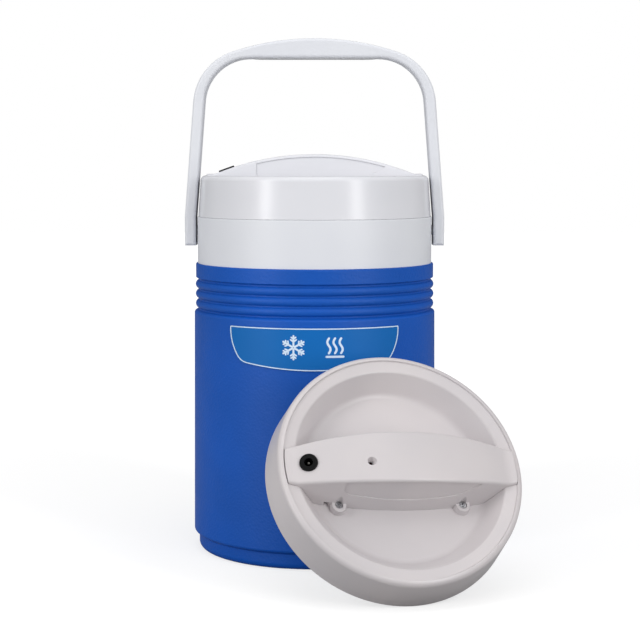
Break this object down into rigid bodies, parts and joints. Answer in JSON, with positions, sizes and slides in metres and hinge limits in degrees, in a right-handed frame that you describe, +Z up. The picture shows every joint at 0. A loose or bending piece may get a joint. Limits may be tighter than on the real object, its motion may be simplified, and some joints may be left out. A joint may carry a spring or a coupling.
{
  "type": "hot and cold therapy cooler",
  "caption": "Round insulated jug with a swinging bail, a ribbed blue wall and a white twist-on lid that houses an air pump; a second such lid leans against its front.",
  "frame": {"origin": "middle of the cooler's base, on the surface that it stands on", "axes": "+Z up; the label faces -Y and the hose outlet +Y; the bail turns about +X"},
  "size_m": [0.2599, 0.3517, 0.4172],
  "materials": {
    "blue_shell": "satin",
    "white_shell": "satin",
    "lid_white": "satin",
    "white_satin": "satin",
    "white_liner": "satin",
    "foam": "matte",
    "label": "satin",
    "grey_fitting": "satin",
    "steel": "satin",
    "brass": "polished",
    "rubber_black": "matte",
    "rubber_white": "matte",
    "rubber_clear": "satin",
    "black_plastic": "satin",
    "board": "satin",
    "wire": "satin"
  },
  "bodies": {
    "cooler": {"outer_shell": "blue_shell", "inner_liner": "white_liner", "foam_insulation": "foam", "collar": "white_shell", "label_plate": "label", "bail_pin_left": "white_satin", "bail_pin_right": "white_satin", "outlet_body": "grey_fitting", "outlet_seal": "rubber_black", "outlet_nut": "grey_fitting", "latch_spring": "steel"},
    "bail": {"bail_handle": "white_shell", "bail_grip_insert": "white_satin"},
    "lid_seal": {"lid_gasket": "rubber_white"},
    "lid": {"air_nozzle": "white_satin", "air_tube": "rubber_clear", "bar_screws": "steel", "control_board": "board", "jack_pin": "brass", "jack_wires": "wire", "lid_bar": "lid_white", "lid_foam": "foam", "lid_liner": "white_liner", "lid_shell": "lid_white", "motor_cradle": "black_plastic", "motor_wires": "wire", "nozzle_nut": "white_satin", "power_jack": "black_plastic", "pump_diaphragm": "rubber_black", "pump_head": "black_plastic", "pump_motor": "steel"},
    "pump_rotor": {"pump_crank": "steel"},
    "latch": {"outlet_latch": "steel"},
    "spare_lid": {"spare_air_nozzle": "white_satin", "spare_air_tube": "rubber_clear", "spare_bar_screws": "steel", "spare_control_board": "board", "spare_jack_pin": "brass", "spare_jack_wires": "wire", "spare_lid_bar": "lid_white", "spare_lid_foam": "foam", "spare_lid_gasket": "rubber_white", "spare_lid_liner": "white_liner", "spare_lid_shell": "lid_white", "spare_motor_cradle": "black_plastic", "spare_motor_wires": "wire", "spare_nozzle_nut": "white_satin", "spare_power_jack": "black_plastic", "spare_pump_diaphragm": "rubber_black", "spare_pump_head": "black_plastic", "spare_pump_motor": "steel"},
    "spare_pump_rotor": {"spare_pump_crank": "steel"}
  },
  "joints": [
    {"name": "bail_swing", "type": "hinge", "parent": "cooler", "child": "bail", "pos_m": [0, 0, 0.262], "axis": [1, 0, 0], "range_deg": [-105, 105]},
    {"name": "lid_lift", "type": "slide", "parent": "cooler", "child": "lid_seal", "axis": [0, 0, 1], "range_m": [0, 0.013]},
    {"name": "lid_turn", "type": "hinge", "parent": "lid_seal", "child": "lid", "pos_m": [0, 0, 0.27315], "axis": [0, 0, 1], "range_deg": [-45, 0]},
    {"name": "pump_spin", "type": "hinge", "parent": "lid", "child": "pump_rotor", "pos_m": [-0.02, 0, 0.30315], "axis": [1, 0, 0], "continuous": true},
    {"name": "latch_press", "type": "slide", "parent": "cooler", "child": "latch", "axis": [0, 0, -1], "range_m": [0, 0.0025], "stiffness_N_per_m": 1000, "springref_m": -0.004, "deforming": ["latch_spring"]},
    {"name": "spare_lid_slide", "type": "slide", "parent": "cooler", "child": "spare_lid", "axis": [0.3616, -0.9323, 0], "range_m": [0, 0.2]},
    {"name": "spare_pump_spin", "type": "hinge", "parent": "spare_lid", "child": "spare_pump_rotor", "pos_m": [0.04443, -0.17369, 0.09566], "axis": [0.9632, 0.2633, -0.0548], "continuous": true}
  ]
}
